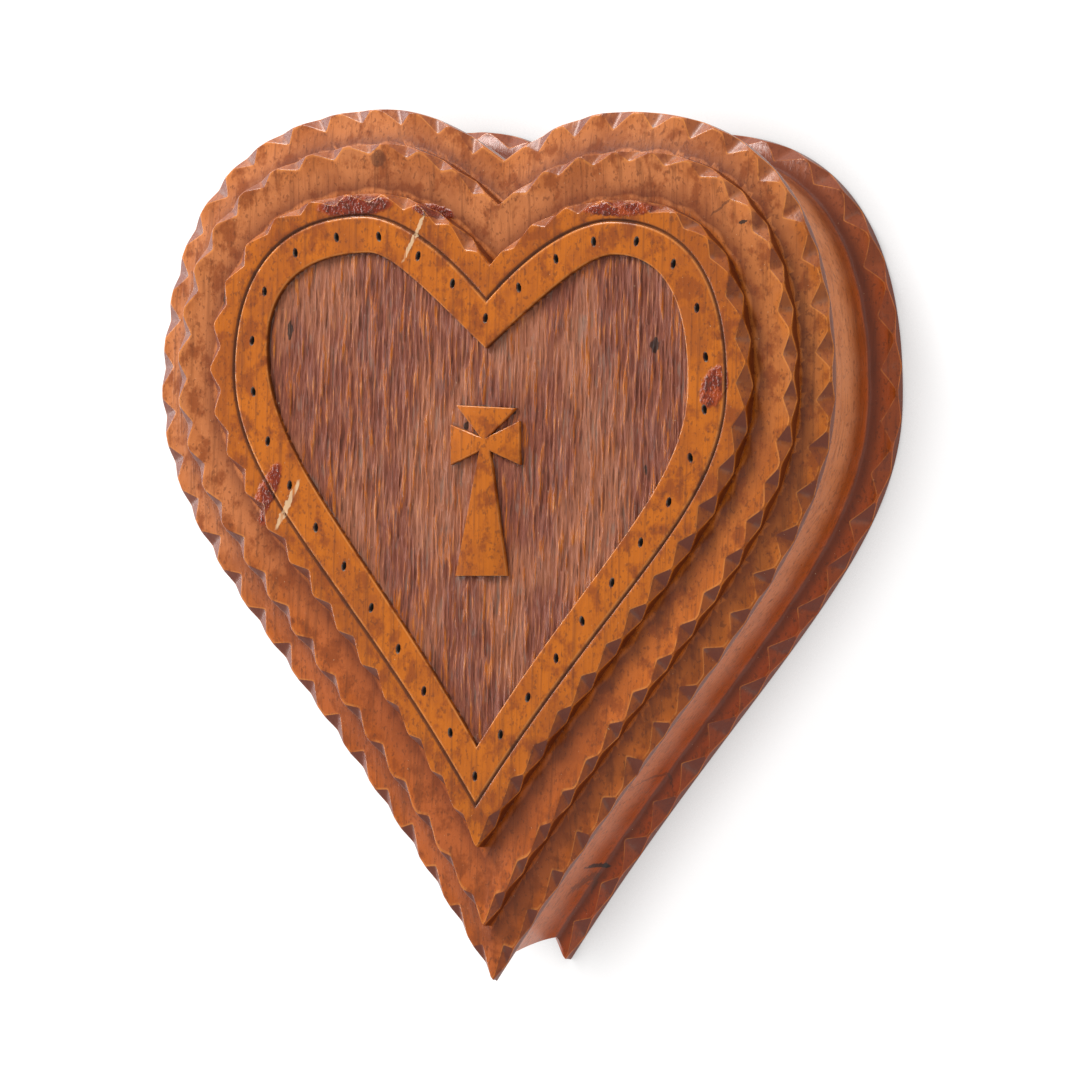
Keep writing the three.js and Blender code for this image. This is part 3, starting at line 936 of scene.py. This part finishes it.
def new_finish(name):
    """An empty finish: its material, tree and shader, and the piece's own place in millimetres."""
    material = bpy.data.materials.new(name)
    material.use_nodes = True
    tree = material.node_tree
    tree.nodes.clear()
    shader = add(tree, "ShaderNodeBsdfPrincipled")
    add(tree, "ShaderNodeOutputMaterial", {"Surface": shader})
    place = add(tree, "ShaderNodeTexCoord")
    scaled = add(tree, VECTOR, {0: place.outputs["Object"], "Scale": 1 / MM}, operation="SCALE")
    return material, tree, shader, scaled.outputs[0]


def marks_of(tree, *names):
    """The marks that the carving left on the mesh, by name."""
    return {name: add(tree, "ShaderNodeAttribute", attribute_name=name).outputs["Fac"] for name in names}


def figure(tree, place, size, detail=2.0, roughness=0.5, shift=0.0):
    """Noise whose spots measure about `size` millimetres along X, Y and Z."""
    pace = add(tree, VECTOR, {
        0: place, 1: tuple(0.5 / length for length in size), 2: (shift, shift, shift),
    }, operation="MULTIPLY_ADD")
    noise = add(tree, NOISE, {"Vector": pace, "Scale": 1, "Detail": detail, "Roughness": roughness})
    return noise.outputs["Fac"]


def mask(tree, most, *limits):
    """Up to `most` where each value is past its limit: (value, where it starts, where it is full)."""
    total = most
    for value, start, full in limits:
        past = add(tree, RANGE, {
            "Value": value, "From Min": start, "From Max": full,
        }, interpolation_type="SMOOTHSTEP")
        total = add(tree, MATH, {0: total, 1: past}, operation="MULTIPLY").outputs[0]
    return total


def lay(tree, colour, layers):
    """Lays shades over a colour in order, each given with its mask's strength and limits."""
    for shade_over, most, *limits in layers:
        share = mask(tree, most, *limits)
        mixed = add(tree, "ShaderNodeMix", {0: share, 6: colour, 7: shade_over}, data_type="RGBA")
        colour = mixed.outputs[2]
    return colour


def patches(tree, place, ovals):
    """A mask of ragged ovals, each with its middle and size in millimetres and its turn."""
    total = 0.0
    rough = add(tree, NOISE, {"Vector": place, "Scale": 0.9, "Detail": 3})
    ragged = add(tree, VECTOR, {
        0: rough.outputs["Color"], 1: (RAGGED, RAGGED, 0), 2: place,
    }, operation="MULTIPLY_ADD")
    for (x, y), (length, width), turn in ovals:
        own = add(tree, "ShaderNodeMapping", {
            "Vector": ragged, "Location": (x + RAGGED / 2, y + RAGGED / 2, 0),
            "Rotation": (0, 0, math.radians(turn)), "Scale": (length / 2, width / 2, 1000),
        }, vector_type="TEXTURE")
        off = add(tree, VECTOR, {0: own}, operation="LENGTH")
        inside = mask(tree, 1, (off.outputs["Value"], 1.1, 0.75))
        total = add(tree, MATH, {0: total, 1: inside}, operation="MAXIMUM").outputs[0]
    return total


def old_varnish(name, shades, tones, glow, blotches, age):
    """Close-grained wood under an old brushed varnish that has turned amber and worn to satin.

    To the eye: warm brown with orange where the film is thin over an arris, fine dark streaks along
    the grain, purple-brown knife facets with grey dust in them, and a soft gloss with bright edges,
    partly worn and partly painted highlight. Painted shade darkens the foot of each step, the crevices,
    the facets that face the tip and the left-hand side and the back of the flange; a painted light
    pales the upper-left lobes."""
    material, tree, shader, place = new_finish(name)
    cloud = figure(tree, place, (8, 12, 8), 4, 0.6)
    grain = figure(tree, place, (0.5, 15, 0.5), 3, 0.6, 3.1)
    pores = figure(tree, place, (0.4, 0.6, 0.4), 2, 0.6, 7.7)
    mottle = figure(tree, place, (2.2, 2.6, 2.2), 4, 0.65, 5.2)
    lint = figure(tree, place, (0.22, 0.3, 0.22), 2, 0.6, 2.9)
    read = marks_of(tree, "chip", "valley", "ledge", *MARKS)
    corner = add(tree, "ShaderNodeAmbientOcclusion", {"Distance": 1.8 * MM}, samples=4, only_local=True)
    hollow = corner.outputs["AO"]

    # The tone of the wood by its height, as a share of the whole box's height
    parts = add(tree, "ShaderNodeSeparateXYZ", {0: place})
    height = add(tree, MATH, {0: parts.outputs["Z"], 1: TOP}, operation="DIVIDE")
    ramp = add(tree, "ShaderNodeValToRGB", {"Fac": height})
    stops = ramp.color_ramp.elements
    for number, (z, tone) in enumerate(tones):
        stop = stops[number] if number < 2 else stops.new(z / TOP)
        stop.position = z / TOP
        stop.color = tone

    streak = mask(tree, 0.4, (grain, 0.52, 0.66))
    blister = patches(tree, place, age["blisters"])
    crust = mask(tree, 0.85, (blister, 0, 1), (mottle, 0.4, 0.5))
    scar = patches(tree, place, age["scars"])
    # Painted shade in corners and creases, found by ambient occlusion
    painted_crevice_shade = mask(tree, 0.9, (hollow, 0.66, 0.25))
    # Rubbed arrises: partly worn varnish, partly a painted highlight along the edges
    wear_and_highlight = mask(tree, 0.6, (read["edge"], 0, 1), (mottle, 0.36, 0.56))

    # Painted shade on the facets that face the tip and the left-hand side;
    # the others keep the lighter facet tone
    facing = add(tree, "ShaderNodeTexCoord").outputs["Normal"]
    turned = add(tree, VECTOR, {0: facing, 1: (0.7, 0.7, 0)}, operation="DOT_PRODUCT")
    on_chip = ((read["chip"], 0, 1), (mottle, 0.1, 0.42))
    facet = mask(tree, 0.4, *on_chip)
    painted_shade_facet = mask(tree, 0.85, *on_chip, (turned.outputs["Value"], 0.28, 0.02))

    # Where some tones go: towards the lobes, where a painted light makes the upper-left paler and pinker,
    # below the lid's top, and on the right-hand ledges
    x, y, z = (parts.outputs[name] for name in "XYZ")
    lobes = add(tree, VECTOR, {0: place, 1: (-0.5, 0.86, 0)}, operation="DOT_PRODUCT")
    below_top = (z, TOP - 0.4, TOP - 1.2)
    right_ledges = ((x, 10, 45), (y, 45, 5), (z, LIP, LIP + 1), below_top)
    ledge, dirt_and_shade, bare = (read[name] for name in ("ledge", "dirt_and_shade", "bare"))
    colour = lay(tree, ramp.outputs["Color"], (
        (shades.glow, glow, (ledge, 0.42, 0.1), (cloud, 0.36, 0.58)),
        (shades.amber, 0.35, (ledge, 0.42, 0.8), (cloud, 0.4, 0.6), below_top),
        (shades.flush, 0.45, (y, 40, -40), below_top),
        # Painted light: paler and pinker towards the top, most on the upper-left lobe that the light falls
        # from
        (shades.rose, 0.5, (lobes.outputs["Value"], 5, 42), below_top),
        (shades.glow, 0.35, *right_ledges),
        (shades.dull, 0.6 * blotches, (cloud, 0.46, 0.62), (mottle, 0.36, 0.6)),
        (shades.dull, 0.8 * blotches, (mottle, 0.54, 0.36)),
        (shades.grain, streak),
        (shades.grain, 0.55, (pores, 0.58, 0.66)),
        # Painted shade at the foot of each step and of the body's wall, over the inner ledge and lower riser
        (shades.shadow, 0.85, (ledge, 0.35, 0.9), below_top),
        # Painted shade on the flange at the back, behind the lid
        (shades.shadow, 0.6, (y, 45, 75), (z, 12, 7)),
        (shades.flush, 0.65, (blister, 0, 0.6)),
        (shades.blister, crust),
        (shades.grime_and_shade, 0.6, (crust, 0.3, 0.9), (pores, 0.5, 0.6)),
        (shades.facet, facet),
        (shades.facet, painted_shade_facet),
        # Painted shade in corners and creases
        (shades.shadow, painted_crevice_shade),
        # Darker in the cut lines, which is dirt, and at the foot of the field's wall, the cross and the
        # hollow's floor, which is painted shade
        (shades.grime_and_shade, 0.8, (dirt_and_shade, 0, 1)),
        (shades.dust, 0.2, (read["valley"], 0.1, 1), (mottle, 0.46, 0.6)),
        (shades.dust, 0.3, (hollow, 0.66, 0.3), (pores, 0.5, 0.62), (cloud, 0.45, 0.6)),
        # Worn arrises with a painted highlight
        (shades.edge, wear_and_highlight),
        (shades.grime_and_shade, 0.55, (patches(tree, place, age["stains"]), 0, 1)),
        (shades.soot, 0.9, (patches(tree, place, age["soot"]), 0, 1)),
        (shades.scar, 0.75, (scar, 0, 1), (grain, 0.35, 0.5)),
        (shades.scar, 0.6, (lint, 0.74, 0.78)),
        (shades.bare, bare),
        (shades.dull, 0.5, (bare, 0, 1), (grain, 0.5, 0.72)),
    ))
    tree.links.new(colour, shader.inputs["Base Color"])

    # Satin on the ledges, duller in the cuts and where it is bare, glossier on the rubbed edges
    matt = add(tree, MATH, {0: mottle, 1: 0.2, 2: 0.22}, operation="MULTIPLY_ADD")
    rougher = ((facet, 0.16), (painted_crevice_shade, 0.2), (bare, 0.35), (scar, 0.3))
    for share, amount in (*rougher, (wear_and_highlight, -0.2), (crust, -0.18)):
        matt = add(tree, MATH, {0: share, 1: amount, 2: matt}, operation="MULTIPLY_ADD")
    tree.links.new(matt.outputs[0], shader.inputs["Roughness"])
    shader.inputs["IOR"].default_value = 1.5
    shader.inputs["Specular IOR Level"].default_value = 0.3
    shader.inputs["Coat Weight"].default_value = 0.1
    shader.inputs["Coat Roughness"].default_value = 0.16

    # Grain and brush marks a few hundredths of a millimetre high, blisters somewhat higher
    bubbles = add(tree, MATH, {0: blister, 1: pores}, operation="MULTIPLY")
    swell = add(tree, MATH, {0: bubbles, 1: 5, 2: grain}, operation="MULTIPLY_ADD")
    rise = add(tree, MATH, {0: pores, 1: 0.5, 2: swell}, operation="MULTIPLY_ADD")
    bump = add(tree, "ShaderNodeBump", {"Height": rise, "Strength": 0.7, "Distance": 0.12 * MM})
    tree.links.new(bump.outputs[0], shader.inputs["Normal"])
    return material


def gouged_ground(name, shades, age):
    """The same wood left rough from the gouge, stained by smoke and dust instead of varnished.

    To the eye: matt purple-brown with torn streaks along the grain, grey dust lying in the strokes
    and orange where the ridges kept a film of varnish. Painted shade darkens its hollows, and painted
    highlights catch the ridge tops."""
    material, tree, shader, place = new_finish(name)
    read = marks_of(tree, "relief", "ridge")
    cloud = figure(tree, place, (7, 18, 7), 3, 0.55, 1.3)
    tear = figure(tree, place, (0.26, 3.2, 1), 4, 0.7, 4.4)
    strand = figure(tree, place, (0.6, 12, 1), 2, 0.5, 9.1)
    settle = figure(tree, place, (1.6, 5, 1.6), 3, 0.6, 2.6)
    grit = figure(tree, place, (0.2, 0.34, 0.3), 2, 0.6, 6.5)
    corner = add(tree, "ShaderNodeAmbientOcclusion", {"Distance": 1.2 * MM}, samples=4, only_local=True)
    hollow = corner.outputs["AO"]
    kept = mask(tree, 0.7, (read["relief"], 0.45, 0.75), (tear, 0.46, 0.56), (strand, 0.44, 0.56))
    tall = mask(tree, 0.75, (read["ridge"], 0.25, 0.45), (tear, 0.42, 0.54))
    colour = lay(tree, shades.ground, (
        (shades.ground_pale, 0.6, (cloud, 0.46, 0.58)),
        (shades.ground_pale, 0.6, (tear, 0.52, 0.62)),
        (shades.grime_and_shade, 0.6, (tear, 0.46, 0.36)),
        (shades.ridge, kept),
        (shades.ridge, tall),
        (shades.dust, 0.45, (read["relief"], 0.5, 0.2), (settle, 0.52, 0.6)),
        # Painted shade in the field's hollows, found by ambient occlusion
        (shades.grime_and_shade, 0.75, (hollow, 0.7, 0.35)),
        (shades.dust, 0.4, (hollow, 0.7, 0.35), (settle, 0.45, 0.56)),
        # Painted highlight: glints on the ridge tops
        (shades.edge, 0.6, (read["relief"], 0.5, 0.8), (tear, 0.57, 0.64)),
        (shades.scar, 0.7, (grit, 0.72, 0.77)),
        (shades.soot, 0.85, (patches(tree, place, age["spots"]), 0, 1)),
    ))
    tree.links.new(colour, shader.inputs["Base Color"])
    gloss = add(tree, MATH, {0: kept, 1: tall}, operation="MAXIMUM")
    matt = add(tree, MATH, {0: gloss, 1: -0.3, 2: 0.48}, operation="MULTIPLY_ADD")
    tree.links.new(matt.outputs[0], shader.inputs["Roughness"])
    shader.inputs["Specular IOR Level"].default_value = 0.3
    rise = add(tree, MATH, {0: strand, 1: 1.5, 2: tear}, operation="MULTIPLY_ADD")
    bump = add(tree, "ShaderNodeBump", {"Height": rise, "Strength": 0.9, "Distance": 0.8 * MM})
    tree.links.new(bump.outputs[0], shader.inputs["Normal"])
    return material


def pricked_wood(name, shades):
    """Fibres crushed by an awl: grey-brown burr at the mouth, and a painted shade going near black deeper
    down.
    """
    material, tree, shader, place = new_finish(name)
    parts = add(tree, "ShaderNodeSeparateXYZ", {0: place})
    fibre = figure(tree, place, (0.25, 0.6, 0.4))
    colour = lay(tree, shades.dust, (
        (shades.facet, 1, (fibre, 0.4, 0.6)),
        # Painted shade: near black deeper in the prick
        (shades.soot, 1, (parts.outputs["Z"], TOP - 0.1, TOP - 0.5)),
    ))
    tree.links.new(colour, shader.inputs["Base Color"])
    shader.inputs["Roughness"].default_value = 0.8
    return material


def white_paper(name):
    """Matt white paper on a light table: even white, with a painted shadow greyer only close round the box.
    """
    material, tree, shader, _ = new_finish(name)
    shader.inputs["Base Color"].default_value = linear("#909090")
    shader.inputs["Roughness"].default_value = 0.9
    shader.inputs["Emission Color"].default_value = (1, 1, 1, 1)
    # Painted shadow: the paper's glow dims where the box is near
    near = add(tree, "ShaderNodeAmbientOcclusion", {"Distance": 18 * MM}, samples=4)
    light = add(tree, MATH, {0: near.outputs["AO"], 1: 0.8, 2: 0.07}, operation="MULTIPLY_ADD")
    tree.links.new(light.outputs[0], shader.inputs["Emission Strength"])
    return material


class HEARTBOX_OT_lid(bpy.types.Operator):
    """Carve the lid: three chipped steps, the band, the gouged field, its cross and the pricks"""

    bl_idname = "heartbox.lid"
    bl_label = "Carve Lid"

    def execute(self, context):
        sizes = context.scene.heart_box
        shades = context.scene.heart_box_shades
        tones = ((THIRD_ARRIS, shades.ochre), (SECOND_ARRIS, shades.ochre), (TOP, shades.amber))
        wood = old_varnish("amber varnish on close-grained wood", shades, tones, 0.9, 1, LID_MARKS)
        ground = gouged_ground("gouged ground", shades, LID_MARKS)
        dark = pricked_wood("awl-pricked wood", shades)
        lid = third_step(wood, sizes)
        low, high = (shrink(HEARTS["third"], RIM_INSET + inset) for inset in (0.8, 0.5))
        plug = heart_prism("plug", low, high, PLUG_BOTTOM, LIP + 0.3)
        plug.data.materials.append(wood)
        store(plug, "bare", np.ones(len(plug.data.vertices)))
        combine(lid, plug, "UNION")
        combine(lid, second_step(wood, sizes), "UNION")
        combine(lid, first_step(wood, sizes), "UNION")
        combine(lid, gouged_field(ground, sizes), "UNION")
        combine(lid, relief_cross(wood), "UNION")
        combine(lid, pricks(dark, sizes), "DIFFERENCE")
        finish_piece(lid, "lid")
        return {"FINISHED"}


class HEARTBOX_OT_body(bpy.types.Operator):
    """Carve the body: the chipped flange, the coved wall and the hollow"""

    bl_idname = "heartbox.body"
    bl_label = "Carve Body"

    def execute(self, context):
        sizes = context.scene.heart_box
        shades = context.scene.heart_box_shades
        umber, dull, rose = shades.umber, shades.dull, shades.rose
        tones = ((0, umber), (WALL_FOOT, umber), (WALL_FOOT + 4, dull), (RIM - 12, rose))
        wood = old_varnish("amber varnish on the body", shades, tones, 0.2, 0.3, BODY_MARKS)
        body = carve_row(box_blank(), "flange", 0.2, FLANGE_ARRIS, wood, sizes)
        finish_piece(body, "box_body")
        return {"FINISHED"}


def finish_piece(piece, node):
    """Smooth shading between sharp arrises, and the piece's place in the frame."""
    mesh = piece.data
    mesh.shade_smooth()
    mesh.set_sharp_from_angle(angle=SHARP)
    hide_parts(node)
    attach(piece, "root")


# Stage


class HEARTBOX_OT_stage(bpy.types.Operator):
    """Set the camera, the pale floor and the soft light"""

    bl_idname = "heartbox.stage"
    bl_label = "Set Stage"

    def execute(self, context):
        scene = context.scene
        tilt, turn, roll = (math.radians(angle) for angle in CAMERA_ANGLES)
        back = Vector((math.sin(tilt) * math.cos(turn), math.sin(tilt) * math.sin(turn), math.cos(tilt)))
        right = (-back).cross(Vector((0, 1, 0))).normalized()
        up = right.cross(-back)
        rolled_right = right * math.cos(roll) + up * math.sin(roll)
        rolled_up = up * math.cos(roll) - right * math.sin(roll)
        camera = put("Camera", bpy.data.cameras.new("Camera"))
        camera.data.sensor_width = SENSOR
        camera.data.lens = SENSOR * PIXELS_PER_MM * CAMERA_DISTANCE / PICTURE_WIDTH
        camera.data.clip_end = 20
        place = Matrix((rolled_right, rolled_up, back)).transposed().to_4x4()
        place.translation = (Vector(CAMERA_TARGET) + back * CAMERA_DISTANCE) * MM
        camera.matrix_world = place
        scene.camera = camera

        bpy.ops.mesh.primitive_plane_add(size=6, location=(0, 0, 0))
        floor = context.active_object
        floor.name = "floor"
        floor.data.materials.append(white_paper("white paper"))

        world = bpy.data.worlds.new("Studio")
        world.use_nodes = True
        world.node_tree.nodes["Background"].inputs["Color"].default_value = (1, 1, 1, 1)
        world.node_tree.nodes["Background"].inputs["Strength"].default_value = WORLD_STRENGTH
        scene.world = world
        for name, place, size, power in SOFTBOXES:
            light = bpy.data.lights.new(name, "AREA")
            light.shape = "RECTANGLE"
            light.size, light.size_y = size
            light.energy = power
            lamp = put(name, light)
            lamp.location = place
            lamp.rotation_euler = (-lamp.location).to_track_quat("-Z", "Y").to_euler()
        scene.view_settings.view_transform = "Standard"
        return {"FINISHED"}


class HEARTBOX_PT_sidebar(bpy.types.Panel):
    """Sizes, colours and steps of the heart box"""

    bl_idname = "HEARTBOX_PT_sidebar"
    bl_label = "Chip Carved Heart Box"
    bl_space_type = "VIEW_3D"
    bl_region_type = "UI"
    bl_category = "Heart Box"

    def draw(self, context):
        for group in (context.scene.heart_box, context.scene.heart_box_shades):
            box = self.layout.box()
            for name in group.bl_rna.properties.keys():
                if name not in ("rna_type", "name"):
                    box.prop(group, name)
        for step in ("heartbox.lid", "heartbox.body", "heartbox.stage"):
            self.layout.operator(step)


CLASSES = (
    HeartBoxShades,
    HeartBoxCarving,
    HEARTBOX_OT_lid,
    HEARTBOX_OT_body,
    HEARTBOX_OT_stage,
    HEARTBOX_PT_sidebar,
)


def register():
    for each in CLASSES:
        bpy.utils.register_class(each)
    bpy.types.Scene.heart_box = PointerProperty(type=HeartBoxCarving)
    bpy.types.Scene.heart_box_shades = PointerProperty(type=HeartBoxShades)


def unregister():
    del bpy.types.Scene.heart_box_shades
    del bpy.types.Scene.heart_box
    for each in reversed(CLASSES):
        bpy.utils.unregister_class(each)


def main():
    register()
    bpy.ops.heartbox.lid()
    bpy.ops.heartbox.body()
    bpy.ops.heartbox.stage()


if __name__ == "__main__":
    main()
